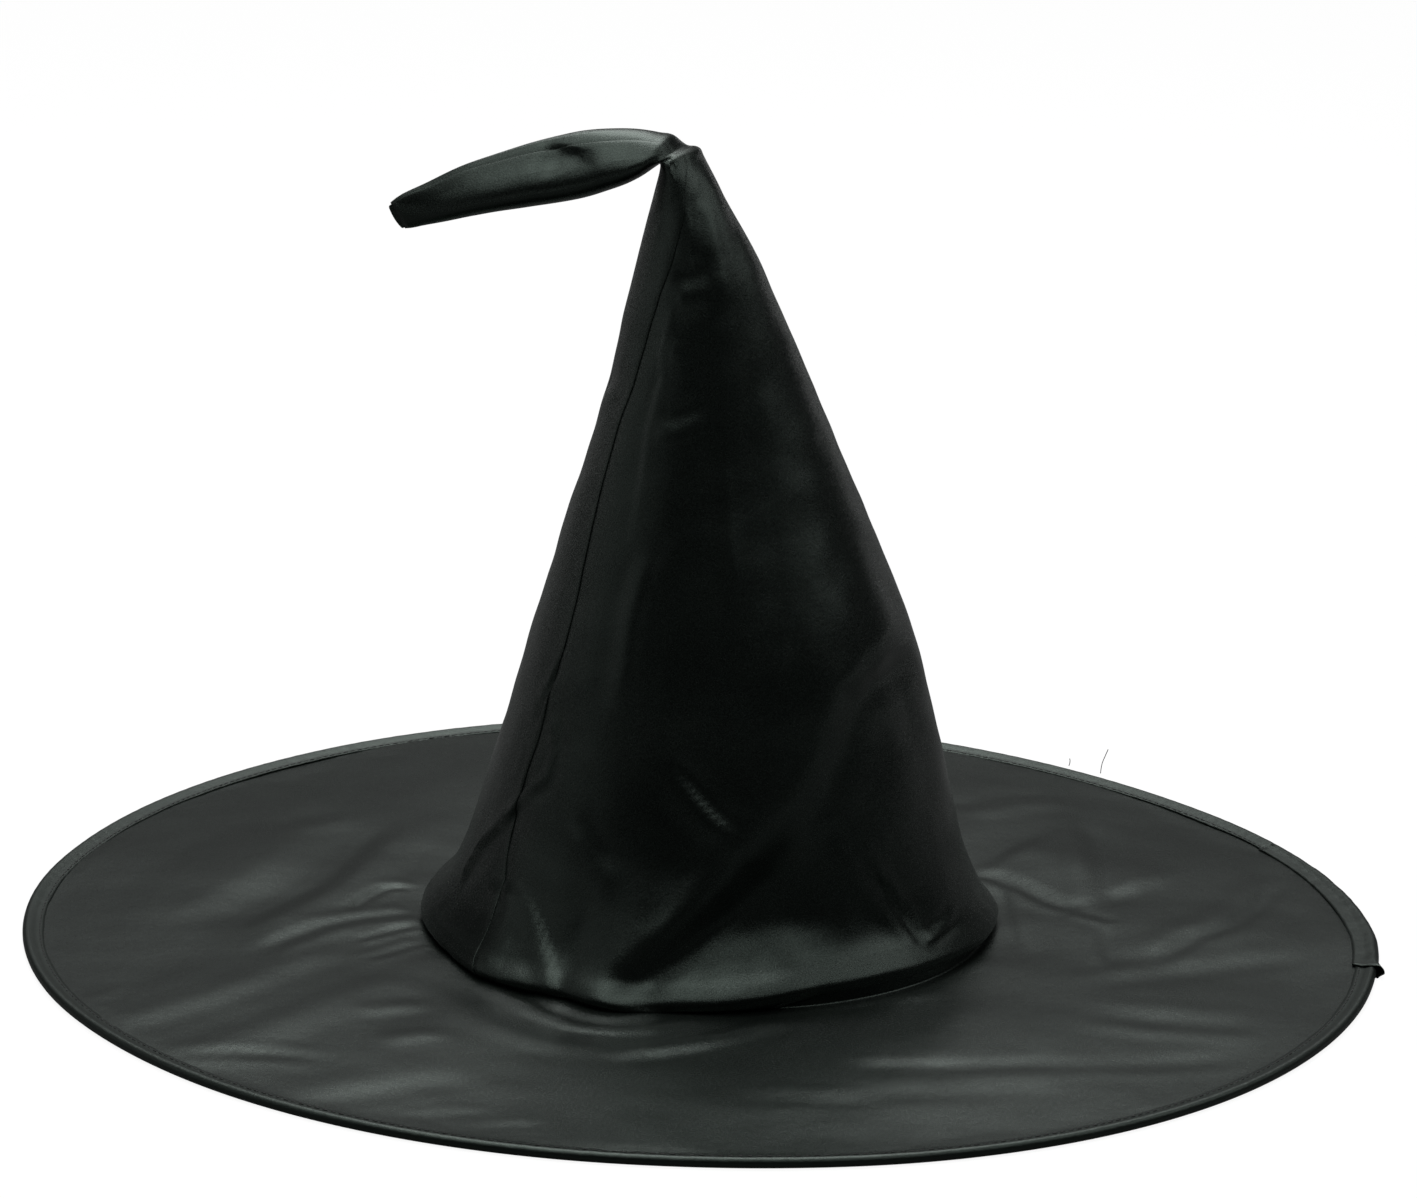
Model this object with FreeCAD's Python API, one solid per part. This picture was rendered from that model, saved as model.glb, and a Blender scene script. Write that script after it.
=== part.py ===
"""Costume witch hat: a wired cloth brim, a soft cone crown and its folded-over tip.

Millimetres, +Z up. The origin is the middle of the brim on the surface that the hat stands on.
The tip points along -X. Every cloth piece is one closed solid as thick as its own ply or fold.
"""

import FreeCAD, Part
import math
import os

Vector = FreeCAD.Vector
Y_AXIS = Vector(0, 1, 0)
Z_AXIS = Vector(0, 0, 1)

# Cloth and fit
cloth = 0.4  # one ply of coated satin
crown_cloth = 0.8  # satin fused to its backing
interlining_thickness = 0.6  # nonwoven stiffener between the brim's plies
layer_gap = 0.05  # air between two layers that are sewn together
fold_gap = 0.3  # air between the crown and the tip at the fold

# Brim
brim_diameter = 450.0
brim_rise = 2.6  # how far the brim domes up from its hem to the crown
dome_radius = 118.0  # inside this radius the brim is level
hem_flat = 4.2  # level cloth between the slope and the binding
wire_radius = 0.9
wire_cut = 1.0  # space between the hoop's two ends
ferrule_wall = 0.35
ferrule_length = 24.0
hem_width = 6.8  # from the brim's edge to the inner edge of the binding
hem_lap_length = 14.0  # where the binding's end covers its start
hem_lap_angle = -8.0  # the cut end of the binding, in degrees from +X

# Head opening
opening_x = 3.5  # the crown is sewn this far off the brim's middle
head_radius = 89.5  # inner face of the head band, a 56 cm head
band_thickness = 0.6
band_height = 9.4
allowance_height = 6.5  # how far the sewn edges are turned up inside the crown

# Crown
crown_height = 260.5  # from the brim's top to the middle of the fold
roll_radius = 95.9  # how far the crown's foot bulges out over its seam
roll_height = 22.0  # where the bulge has gone back into the cone
roll_side = 3.0  # height of the bulge's widest line
roll_tuck = 2.4  # how far the bulge turns in under itself
foot_radius = 84.6  # the cone's radius at the top of the bulge
shoulder_half_width = 7.9  # the crown's half width just under the fold
shoulder_half_depth = 14.2
shoulder_drop = 7.6  # the shoulder's depth under the fold
crown_belly = 3.4  # how far the cone stands proud of a straight one
crown_sway = 3.0  # the cone's bow towards +X at half height
crown_lean = 14.0  # how far the shoulder leans to the tip's side
crown_sections = 9
seam_angle = 232.0  # where the side seam runs, in degrees from +X
seam_allowance_width = 8.0
seam_allowance_height = 196.0

# Fold and tip
fold_radius = 1.6  # the pinched crease, rounded
fold_length = 28.0  # front to back
crease_half_width = 0.3  # where the shoulder runs into the fold
fold_offset = 1.0  # the crease lies this far to the +X side of the shoulder's middle
tip_length = 97.0
tip_droop = 4.0  # degrees below level where the tip leaves the fold
tip_curl = 20.0  # degrees that it droops further by its end
tip_end_length = 4.0  # the sewn edge beyond the tip's end
tip_end_taper = 0.5  # how much lower the sewn edge gets, above and below
# share of the way from the root to the end, height above the tip's line, depth below it, half width
tip_sections = [
    (0.0, 0.35, 0.35, 13.8),
    (0.043, 2.90, 1.20, 13.7),
    (0.117, 5.60, 4.40, 13.0),
    (0.211, 8.20, 8.00, 11.9),
    (0.338, 9.80, 9.80, 10.6),
    (0.464, 9.90, 9.90, 9.4),
    (0.621, 8.90, 8.90, 7.9),
    (0.800, 7.60, 7.60, 5.6),
    (1.0, 4.80, 4.80, 1.2),
]

# Sizes that follow
edge_radius = brim_diameter / 2
hem_radius = edge_radius - hem_width  # inner edge of the binding
slope_radius = hem_radius - hem_flat
casing_radius = wire_radius + ferrule_wall + 2 * layer_gap + cloth
wire_ring_radius = edge_radius - casing_radius
ply_edge_radius = wire_ring_radius - casing_radius
under_z = cloth + layer_gap  # underside of the brim's plies inside the hem
inlay_z = under_z + cloth + layer_gap
top_z = inlay_z + interlining_thickness + layer_gap
hem_top_z = top_z + cloth + layer_gap + cloth
opening_under_z = under_z + brim_rise
opening_top_z = top_z + cloth + brim_rise
band_outer = head_radius + band_thickness
under_turn = band_outer + layer_gap
top_turn = under_turn + cloth + layer_gap
crown_turn = top_turn + cloth + layer_gap
crown_z = opening_top_z + layer_gap
turned_top_z = crown_z + allowance_height
fold_z = crown_z + crown_height
foot_z = crown_z + roll_height
shoulder_z = fold_z - shoulder_drop
fold_x = opening_x - crown_lean + fold_offset
tip_root = fold_radius + fold_gap
cone_flare = (foot_radius - shoulder_half_width - math.pi * crown_belly) / (shoulder_z - foot_z)


def ring(inner, outer, low, high, centre_x=0.0):
    """A plain ring about a vertical axis."""
    base = Vector(centre_x, 0, low)
    body = Part.makeCylinder(outer, high - low, base, Z_AXIS)
    return body.cut(Part.makeCylinder(inner, high - low, base, Z_AXIS))


def closed_face(points):
    """A flat face whose outline runs straight from point to point."""
    return Part.Face(Part.makePolygon(points + points[:1]))


# Brim


def brim_line(low_z):
    """A layer's line from the opening out to its edge: level, a gentle fall, level in the hem."""
    knee = Vector(dome_radius, 0, low_z + brim_rise)
    hem = Vector(slope_radius, 0, low_z)
    half_fall = Vector((slope_radius - dome_radius) / 2, 0, 0)
    fall = Part.BezierCurve()
    fall.setPoles([knee, knee + half_fall, hem - half_fall, hem])
    start = Vector(head_radius / 2, 0, low_z + brim_rise)
    edge = Vector(ply_edge_radius, 0, low_z)
    return [Part.makeLine(start, knee), fall.toShape(), Part.makeLine(hem, edge)]


def brim_layer(low_z, thickness, opening_radius):
    """One layer of the brim with the head opening cut through it."""
    low, high = brim_line(low_z), brim_line(low_z + thickness)
    start = Part.makeLine(low[0].Vertexes[0].Point, high[0].Vertexes[0].Point)
    end = Part.makeLine(low[2].Vertexes[1].Point, high[2].Vertexes[1].Point)
    outline = Part.Wire(Part.__sortEdges__(low + high + [start, end]))
    layer = Part.Face(outline).revolve(Vector(0, 0, 0), Z_AXIS, 360)
    return layer.cut(Part.makeCylinder(opening_radius, crown_z, Vector(opening_x, 0, 0), Z_AXIS))


def brim_under_cloth():
    turned_up = ring(under_turn, under_turn + cloth, opening_under_z, turned_top_z, opening_x)
    return brim_layer(under_z, cloth, under_turn).fuse(turned_up).removeSplitter()


def brim_interlining():
    return brim_layer(inlay_z, interlining_thickness, crown_turn)


def brim_top_cloth():
    turned_up = ring(top_turn, top_turn + cloth, top_z + brim_rise, turned_top_z, opening_x)
    return brim_layer(top_z, cloth, top_turn).fuse(turned_up).removeSplitter()


def head_band():
    return ring(head_radius, band_outer, opening_under_z, opening_under_z + band_height, opening_x)


# Wired hem


def arc_degrees(length):
    return math.degrees(length / wire_ring_radius)


def wire_bar(radius, start_angle, sweep_angle):
    """A round bar bent along the wire's circle."""
    middle = Vector(wire_ring_radius, 0, casing_radius)
    disc = Part.Face(Part.Wire(Part.makeCircle(radius, middle, Y_AXIS)))
    disc.rotate(Vector(0, 0, 0), Z_AXIS, start_angle)
    return disc.revolve(Vector(0, 0, 0), Z_AXIS, sweep_angle)


def brim_wire():
    """The hoop, open where its two ends meet in the ferrule."""
    cut = arc_degrees(wire_cut)
    return wire_bar(wire_radius, hem_lap_angle + cut / 2, 360 - cut)


def wire_ferrule():
    span = arc_degrees(ferrule_length)
    start = hem_lap_angle - span / 2
    bore = wire_radius + layer_gap
    return wire_bar(bore + ferrule_wall, start, span).cut(wire_bar(bore, start, span))


def binding_cut(extra):
    """The binding cut across: a tail under the brim, a turn round the wire, a tail on top of the brim."""
    neck = ply_edge_radius - casing_radius
    wire_x = wire_ring_radius
    outer = casing_radius + extra
    inner = casing_radius - cloth
    crest = wire_x - casing_radius / 2
    low = [Vector(hem_radius, 0, cloth), Vector(hem_radius, 0, 0), Vector(wire_x, 0, 0)]
    high = [
        Vector(wire_x, 0, casing_radius + outer),
        Vector(crest, 0, casing_radius + outer),
        Vector(neck, 0, hem_top_z + extra),
        Vector(hem_radius, 0, hem_top_z + extra),
        Vector(hem_radius, 0, hem_top_z - cloth),
        Vector(neck, 0, hem_top_z - cloth),
        Vector(crest, 0, casing_radius + inner),
        Vector(wire_x, 0, casing_radius + inner),
    ]
    under = Vector(wire_x, 0, cloth)
    edges = [
        Part.makePolygon([under] + low),
        Part.Arc(low[-1], Vector(wire_x + outer, 0, casing_radius), high[0]).toShape(),
        Part.makePolygon(high),
        Part.Arc(high[-1], Vector(wire_x + inner, 0, casing_radius), under).toShape(),
    ]
    return Part.Face(Part.Wire(edges))


def edge_binding():
    """The strip all round the edge, with its end lapped over its start."""
    lap = binding_cut(cloth)
    lap.rotate(Vector(0, 0, 0), Z_AXIS, hem_lap_angle)
    lap = lap.revolve(Vector(0, 0, 0), Z_AXIS, arc_degrees(hem_lap_length))
    return binding_cut(0.0).revolve(Vector(0, 0, 0), Z_AXIS, 360).fuse(lap).removeSplitter()


# Crown


def oval(centre, half_x, half_y):
    """A level ellipse."""
    if half_x >= half_y:
        curve = Part.Ellipse(centre, half_x, half_y)
        return Part.Wire(curve.toShape())
    wire = Part.Wire(Part.Ellipse(centre, half_y, half_x).toShape())
    wire.rotate(centre, Z_AXIS, 90)
    return wire


def cone_section(share, inset):
    """The cone's outline at a share of the way from its foot up to the shoulder."""
    bow = math.sin(math.pi * share)
    half_width = foot_radius + (shoulder_half_width - foot_radius) * share + crown_belly * bow
    flattening = (shoulder_half_depth - shoulder_half_width) * share**8
    centre_x = opening_x + crown_sway * bow - crown_lean * share**2
    height = foot_z + (shoulder_z - foot_z) * share
    return oval(Vector(centre_x, 0, height), half_width - inset, half_width + flattening - inset)


def cone_solid(inset):
    sections = [cone_section(i / (crown_sections - 1), inset) for i in range(crown_sections)]
    return Part.makeLoft(sections, True, False)


def shoulder_solid(inset):
    """From the shoulder up to the pinched crease."""
    crease_middle = Vector(fold_x, 0, fold_z - 2 * inset)
    crease = oval(crease_middle, crease_half_width, fold_length / 2 - inset)
    return Part.makeLoft([cone_section(1.0, inset), crease], True, True)


def foot_line(inset):
    """The foot's line from the cone down round the bulge to the flat that is sewn to the brim."""
    top = Vector(foot_radius - inset, 0, foot_z)
    side = Vector(roll_radius - inset, 0, crown_z + roll_side)
    under = Vector(roll_radius - roll_tuck, 0, crown_z + inset)
    leave = (roll_height - roll_side) / 2
    flank = Part.BezierCurve()
    flank.setPoles([top, top + Vector(cone_flare * leave, 0, -leave), side + Vector(0, 0, leave / 2), side])
    turn = Part.BezierCurve()
    turn.setPoles([side, Vector(side.x, 0, under.z), under])
    return [flank.toShape(), turn.toShape()]


def crown_foot():
    """The rolled foot with its seam allowance turned up inside."""
    outer, inner = foot_line(0.0), foot_line(crown_cloth)
    corners = [
        outer[1].Vertexes[1].Point,
        Vector(crown_turn, 0, crown_z),
        Vector(crown_turn, 0, turned_top_z),
        Vector(crown_turn + cloth, 0, turned_top_z),
        Vector(crown_turn + cloth, 0, crown_z + crown_cloth),
        inner[1].Vertexes[1].Point,
    ]
    top = Part.makeLine(outer[0].Vertexes[0].Point, inner[0].Vertexes[0].Point)
    allowance = Part.makePolygon(corners).Edges
    outline = Part.Wire(Part.__sortEdges__(outer + inner + allowance + [top]))
    foot = Part.Face(outline).revolve(Vector(0, 0, 0), Z_AXIS, 360)
    foot.translate(Vector(opening_x, 0, 0))
    return foot


def crown_panel():
    """The crown's cloth, hollow from the head opening up to the crease."""
    cone = cone_solid(0.0).cut(cone_solid(crown_cloth))
    shoulder = shoulder_solid(0.0).cut(shoulder_solid(crown_cloth))
    crease_start = Vector(fold_x, -fold_length / 2, fold_z)
    crease = Part.makeCylinder(fold_radius, fold_length, crease_start, Y_AXIS)
    return crown_foot().fuse([cone, shoulder, crease]).removeSplitter()


def crown_seam_allowance():
    """The side seam's two edges, pressed flat along the inside of the cone."""
    gap_inset = crown_cloth + layer_gap
    layer = cone_solid(gap_inset).cut(cone_solid(gap_inset + 2 * cloth))
    strip = Part.makeBox(foot_radius, seam_allowance_width, seam_allowance_height)
    strip.translate(Vector(shoulder_half_width, -seam_allowance_width / 2, foot_z))
    strip.rotate(Vector(0, 0, 0), Z_AXIS, seam_angle)
    strip.translate(Vector(opening_x, 0, 0))
    return layer.common(strip)


# Tip


def tip_place(distance):
    """A point on the tip's drooping line and the direction the line has there."""
    start, turn = math.radians(tip_droop), math.radians(tip_curl) / tip_length
    angle = start + turn * distance
    across = (math.sin(angle) - math.sin(start)) / turn
    down = (math.cos(start) - math.cos(angle)) / turn
    return Vector(fold_x - across, 0, fold_z - down), angle


def tip_section(share, height, depth, half_width, inset=0.0, beyond=0.0):
    """An upright ellipse across the tip's line, at its share of the line or beyond that."""
    point, angle = tip_place(tip_root + (tip_length - tip_root) * share + beyond)
    lift = (height - depth) / 2
    centre = point + Vector(-math.sin(angle), 0, math.cos(angle)) * lift
    wire = oval(centre, (height + depth) / 2 - inset, half_width - inset)
    wire.rotate(centre, Y_AXIS, 90 - math.degrees(angle))
    return wire


def tip_panel():
    """The tip's cloth, hollow but for its pinched root and its sewn end."""
    outer = Part.makeLoft([tip_section(*section) for section in tip_sections], True, False)
    hollow = [tip_section(*section, cloth) for section in tip_sections[1:-1]]
    return outer.cut(Part.makeLoft(hollow, True, False))


def tip_end_seam():
    """The tip's sewn end, pressed flat and upright."""
    share, height, depth, half_width = tip_sections[-1]
    root = tip_section(share, height, depth, half_width, 0.0, layer_gap)
    end = tip_section(share, height - tip_end_taper, depth - tip_end_taper, cloth, 0.0, tip_end_length)
    return Part.makeLoft([root, end], True, True)


def build():
    return {
        "brim_under_cloth": brim_under_cloth(),
        "brim_interlining": brim_interlining(),
        "brim_top_cloth": brim_top_cloth(),
        "head_band": head_band(),
        "brim_wire": brim_wire(),
        "wire_ferrule": wire_ferrule(),
        "edge_binding": edge_binding(),
        "crown_panel": crown_panel(),
        "crown_seam_allowance": crown_seam_allowance(),
        "tip_panel": tip_panel(),
        "tip_end_seam": tip_end_seam(),
    }


os.makedirs("parts", exist_ok=True)
for name, shape in build().items():
    shape.exportStep(f"parts/{name}.step")
    print(name, len(shape.Solids), round(shape.Volume, 1), shape.isValid(), shape.BoundBox)
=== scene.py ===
import math

import bmesh
import bpy
import numpy as np
from mathutils import Matrix, Vector, noise


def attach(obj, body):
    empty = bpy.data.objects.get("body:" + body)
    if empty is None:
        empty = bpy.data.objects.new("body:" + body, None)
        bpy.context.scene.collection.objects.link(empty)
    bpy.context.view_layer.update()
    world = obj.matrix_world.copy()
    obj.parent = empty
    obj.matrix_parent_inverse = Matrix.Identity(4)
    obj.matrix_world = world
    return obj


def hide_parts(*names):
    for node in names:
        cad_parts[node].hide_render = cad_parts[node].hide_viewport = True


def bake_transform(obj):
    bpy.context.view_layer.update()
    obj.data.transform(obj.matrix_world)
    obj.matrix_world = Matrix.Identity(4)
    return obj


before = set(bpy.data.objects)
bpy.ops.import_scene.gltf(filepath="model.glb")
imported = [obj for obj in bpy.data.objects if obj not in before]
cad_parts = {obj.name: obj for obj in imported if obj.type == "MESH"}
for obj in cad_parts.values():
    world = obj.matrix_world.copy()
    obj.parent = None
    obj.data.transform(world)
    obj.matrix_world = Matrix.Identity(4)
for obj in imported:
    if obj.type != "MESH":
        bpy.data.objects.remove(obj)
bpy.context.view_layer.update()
mm = 0.001

# small helpers, sizes in millimetres


def ease(x):
    x = np.clip(x, 0.0, 1.0)
    return x * x * (3 - 2 * x)


def throughRows(rows, at):
    # smooth curves through a table whose first column is the position
    table = np.array(rows, float)
    x, y = table[:, 0], table[:, 1:]
    slope = np.gradient(y, x, axis=0)
    i = np.clip(np.searchsorted(x, at, side="right") - 1, 0, len(x) - 2)
    gap = (x[i + 1] - x[i])[:, None]
    t = np.clip((at - x[i])[:, None] / gap, 0, 1)
    return (
        y[i] * (2 * t**3 - 3 * t**2 + 1)
        + y[i + 1] * (3 * t**2 - 2 * t**3)
        + slope[i] * gap * (t**3 - 2 * t**2 + t)
        + slope[i + 1] * gap * (t**3 - t**2)
    )


def foldHeights(folds, x, y, stretch):
    # each fold runs along a path; its cut lists height against distance, positive to the path's left
    total = np.zeros(len(x))
    for fold in folds:
        nearest, side, share = np.full(len(x), 1e9), np.zeros(len(x)), np.zeros(len(x))
        path = fold["path"]
        steps = [math.dist(a, b) for a, b in zip(path, path[1:])]
        run = 0.0
        for (ax, ay), (bx, by), step in zip(path, path[1:], steps):
            dx, dy = (bx - ax) * stretch, by - ay
            px, py = (x - ax) * stretch, y - ay
            t = np.clip((px * dx + py * dy) / (dx * dx + dy * dy), 0, 1)
            away = np.hypot(px - t * dx, py - t * dy)
            nearer = away < nearest
            nearest = np.where(nearer, away, nearest)
            side = np.where(nearer, np.sign(dx * py - dy * px), side)
            share = np.where(nearer, (run + t * step) / sum(steps), share)
            run += step
        distance, height = np.array(fold["cut"], float).T
        place = np.interp(nearest * side, distance, np.arange(len(distance)))
        low = np.minimum(place.astype(int), len(distance) - 2)
        mix = ease(place - low)
        bump = height[low] * (1 - mix) + height[low + 1] * mix
        fadeIn, fadeOut = fold["fade"]
        total += bump * ease(share / fadeIn) * ease((1 - share) / fadeOut)
    return total


def rumple(points, size, seed):
    shift = Vector((seed, 7.3 * seed, 1.9))
    return np.array([noise.noise(Vector(p) / size + shift) for p in points])


def meshObject(name, bm, smoothFaces=True):
    mesh = bpy.data.meshes.new(name)
    bm.to_mesh(mesh)
    bm.free()
    mesh.polygons.foreach_set("use_smooth", [smoothFaces] * len(mesh.polygons))
    piece = bpy.data.objects.new(name, mesh)
    bpy.context.scene.collection.objects.link(piece)
    return piece


def ringFromLine(line, steps, closed, centreX=0.0):
    # turns a line of (radius, height) about the upright axis
    bm = bmesh.new()
    verts = [bm.verts.new((r * mm, 0, z * mm)) for r, z in line]
    pairs = list(zip(verts, verts[1:])) + ([(verts[-1], verts[0])] if closed else [])
    edges = [bm.edges.new(pair) for pair in pairs]
    bmesh.ops.spin(
        bm, geom=verts + edges, axis=(0, 0, 1), cent=(0, 0, 0), angle=2 * math.pi, steps=steps, use_merge=True
    )
    bmesh.ops.remove_doubles(bm, verts=bm.verts, dist=1e-6)
    bmesh.ops.recalc_face_normals(bm, faces=bm.faces)
    bmesh.ops.translate(bm, verts=bm.verts, vec=(centreX * mm, 0, 0))
    return bm


def faceTowards(bm, direction):
    total = sum((f.normal * f.calc_area() for f in bm.faces), Vector())
    if total.dot(Vector(direction)) < 0:
        bmesh.ops.reverse_faces(bm, faces=bm.faces)


def addThickness(piece, thickness, offset):
    wall = piece.modifiers.new("Thickness", "SOLIDIFY")
    wall.thickness, wall.offset = thickness * mm, offset
    wall.use_even_offset = False


# cloth finishes

cloth = {
    "black": (0.0014, 0.0020, 0.0017, 1),
    "worn": (0.0062, 0.0080, 0.0070, 1),
    "shine": 0.5,
    "grain": 0.0006,
    "crinkle": 0.0035,
    "weave": 0.00042,
    "tint": (0.8, 1.0, 0.89, 1),
    # strength and depth of the bumps
    "weaveBump": (0.18, 0.00005),
    "speckleBump": (0.5, 0.00012),
}


def newMaterial(name):
    material = bpy.data.materials.new(name)
    material.use_nodes = True
    nodes, links = material.node_tree.nodes, material.node_tree.links
    return material, nodes, links, nodes["Principled BSDF"]


def noiseNode(nodes, links, coords, size, detail=2.0, rough=0.5):
    texture = nodes.new("ShaderNodeTexNoise")
    texture.inputs["Scale"].default_value = 1 / size
    texture.inputs["Detail"].default_value = detail
    texture.inputs["Roughness"].default_value = rough
    links.new(coords, texture.inputs["Vector"])
    return texture.outputs["Fac"]


def bumpNode(nodes, links, height, strength, distance, below=None):
    bump = nodes.new("ShaderNodeBump")
    bump.inputs["Strength"].default_value = strength
    bump.inputs["Distance"].default_value = distance
    links.new(height, bump.inputs["Height"])
    if below:
        links.new(below, bump.inputs["Normal"])
    return bump.outputs["Normal"]


def rangeNode(nodes, links, value, start, end, low=0.0, high=1.0, curve="LINEAR"):
    spread = nodes.new("ShaderNodeMapRange")
    spread.interpolation_type = curve
    for name, number in (("From Min", start), ("From Max", end), ("To Min", low), ("To Max", high)):
        spread.inputs[name].default_value = number
    links.new(value, spread.inputs["Value"])
    return spread.outputs["Result"]


def mathNode(nodes, links, operation, first, second):
    step = nodes.new("ShaderNodeMath")
    step.operation = operation
    for socket, value in zip(step.inputs, (first, second)):
        if isinstance(value, float):
            socket.default_value = value
        else:
            links.new(value, socket)
    return step.outputs[0]


def satin(name, sheen, roughness, crinkle, uvWeave=False):
    # black satin with a thin coating: soft sheen, fine speckle, faint crinkles, a tight weave
    material, nodes, links, shader = newMaterial(name)
    where = nodes.new("ShaderNodeTexCoord")
    coords = where.outputs["Object"]
    tone = nodes.new("ShaderNodeMix")
    tone.data_type = "RGBA"
    tone.inputs["A"].default_value = cloth["black"]
    tone.inputs["B"].default_value = cloth["worn"]
    speckle = noiseNode(nodes, links, coords, cloth["grain"], 3.0, 0.7)
    cloud = noiseNode(nodes, links, coords, 0.03, 3.0)
    wear = mathNode(nodes, links, "MULTIPLY", speckle, cloud)
    links.new(rangeNode(nodes, links, wear, 0.1, 0.42), tone.inputs["Factor"])
    links.new(tone.outputs["Result"], shader.inputs["Base Color"])
    gloss = rangeNode(nodes, links, speckle, 0.0, 1.0, roughness - 0.08, roughness + 0.12)
    links.new(gloss, shader.inputs["Roughness"])
    shader.inputs["Specular IOR Level"].default_value = cloth["shine"]
    shader.inputs["Specular Tint"].default_value = cloth["tint"]
    shader.inputs["Sheen Weight"].default_value = sheen
    shader.inputs["Sheen Roughness"].default_value = 0.35
    shader.inputs["Sheen Tint"].default_value = (0.86, 1.0, 0.93, 1)
    threads = nodes.new("ShaderNodeTexWave")
    threads.bands_direction = "DIAGONAL"
    threads.inputs["Scale"].default_value = 1 / cloth["weave"]
    threads.inputs["Distortion"].default_value = 1.5
    threads.inputs["Detail"].default_value = 1.0
    links.new(where.outputs["UV"] if uvWeave else coords, threads.inputs["Vector"])
    normal = bumpNode(nodes, links, threads.outputs["Fac"], *cloth["weaveBump"])
    normal = bumpNode(nodes, links, speckle, *cloth["speckleBump"], normal)
    fine = noiseNode(nodes, links, coords, cloth["crinkle"], 3.0, 0.55)
    normal = bumpNode(nodes, links, fine, crinkle, 0.0004, normal)
    links.new(normal, shader.inputs["Normal"])
    return material


def plainCloth(name, colour, roughness, size):
    material, nodes, links, shader = newMaterial(name)
    coords = nodes.new("ShaderNodeTexCoord").outputs["Object"]
    fibres = noiseNode(nodes, links, coords, size, 4.0, 0.7)
    tone = nodes.new("ShaderNodeMix")
    tone.data_type = "RGBA"
    tone.inputs["A"].default_value = tuple(c * 0.7 for c in colour) + (1,)
    tone.inputs["B"].default_value = tuple(c * 1.3 for c in colour) + (1,)
    links.new(fibres, tone.inputs["Factor"])
    links.new(tone.outputs["Result"], shader.inputs["Base Color"])
    shader.inputs["Roughness"].default_value = roughness
    links.new(bumpNode(nodes, links, fibres, 0.5, 0.0002), shader.inputs["Normal"])
    return material


def wireMetal(name, colour, roughness):
    material, nodes, links, shader = newMaterial(name)
    coords = nodes.new("ShaderNodeTexCoord").outputs["Object"]
    drawn = noiseNode(nodes, links, coords, 0.0008, 4.0)
    shader.inputs["Base Color"].default_value = colour + (1,)
    shader.inputs["Metallic"].default_value = 1.0
    gloss = rangeNode(nodes, links, drawn, 0.0, 1.0, roughness - 0.1, roughness + 0.1)
    links.new(gloss, shader.inputs["Roughness"])
    links.new(bumpNode(nodes, links, drawn, 0.2, 0.00005), shader.inputs["Normal"])
    return material


crownSatin = satin("Crown satin", 0.02, 0.255, 0.15, uvWeave=True)
brimSatin = satin("Brim satin", 0.02, 0.27, 0.25)
bindingSatin = satin("Binding satin", 0.02, 0.36, 0.4)
bandTape = plainCloth("Band tape", (0.012, 0.012, 0.012), 0.85, 0.0007)
stiffener = plainCloth("Stiffener", (0.18, 0.18, 0.18), 0.9, 0.0012)
threadBlack = plainCloth("Thread", (0.008, 0.008, 0.008), 0.6, 0.0003)
springSteel = wireMetal("Spring steel", (0.42, 0.42, 0.43), 0.35)
ferruleMetal = wireMetal("Ferrule metal", (0.66, 0.66, 0.66), 0.3)
print("materials ready")

# camera and light

# metres, degrees and millimetres of lens
cameraSetup = {
    "distance": 2.2,
    "target": (-0.00024, 0.0, 0.114836),
    "elevation": 16.347,
    "roll": 1.559,
    "lens": 169.92,
}


def makeCamera():
    tilt, roll = math.radians(cameraSetup["elevation"]), math.radians(cameraSetup["roll"])
    back = Vector((0, -math.cos(tilt), math.sin(tilt)))
    side = Vector((1, 0, 0))
    up = back.cross(side)
    across = side * math.cos(roll) + up * math.sin(roll)
    upright = up * math.cos(roll) - side * math.sin(roll)
    turn = Matrix((across, upright, back)).transposed().to_4x4()
    data = bpy.data.cameras.new("Camera")
    data.lens, data.sensor_width, data.clip_end = cameraSetup["lens"], 36.0, 50.0
    camera = bpy.data.objects.new("Camera", data)
    place = Vector(cameraSetup["target"]) + back * cameraSetup["distance"]
    camera.matrix_world = Matrix.Translation(place) @ turn
    bpy.context.scene.collection.objects.link(camera)
    bpy.context.scene.camera = camera


lamps = [
    # name, place, aimed at, size, size across, watts
    ("Overhead back", (-0.05, 0.8, 1.95), (0.0, 0.0, 0.1), 1.2, 1.2, 17.0),
    ("Overhead left", (-0.85, -0.3, 1.9), (0.0, 0.0, 0.1), 1.2, 1.2, 4.0),
    ("Overhead front", (-0.3, -0.7, 1.95), (0.0, 0.0, 0.2), 1.2, 1.0, 8.5),
    ("Right", (1.55, 0.1, 1.4), (0.0, 0.0, 0.1), 0.9, 0.95, 4.8),
    ("Front right", (0.9, -0.9, 1.6), (0.0, 0.0, 0.1), 0.7, 0.6, 2.6),
    ("Left", (-1.9, -0.1, 0.78), (0.0, 0.0, 0.1), 1.9, 0.8, 1.6),
]

# how light the room is: all round, then low and high behind the hat; and the share of the floor's
# white that the cloth mirrors
room = {"dim": 0.02, "low": 0.06, "rise": 5.0, "most": 2.0, "mirrored": 0.05}


def makeLamps():
    for name, place, aim, size, across, watts in lamps:
        data = bpy.data.lights.new(name, "AREA")
        data.shape, data.size, data.size_y, data.energy = "RECTANGLE", size, across, watts
        lamp = bpy.data.objects.new(name, data)
        lamp.location = place
        lamp.rotation_euler = (Vector(aim) - Vector(place)).to_track_quat("-Z", "Y").to_euler()
        bpy.context.scene.collection.objects.link(lamp)


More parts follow.
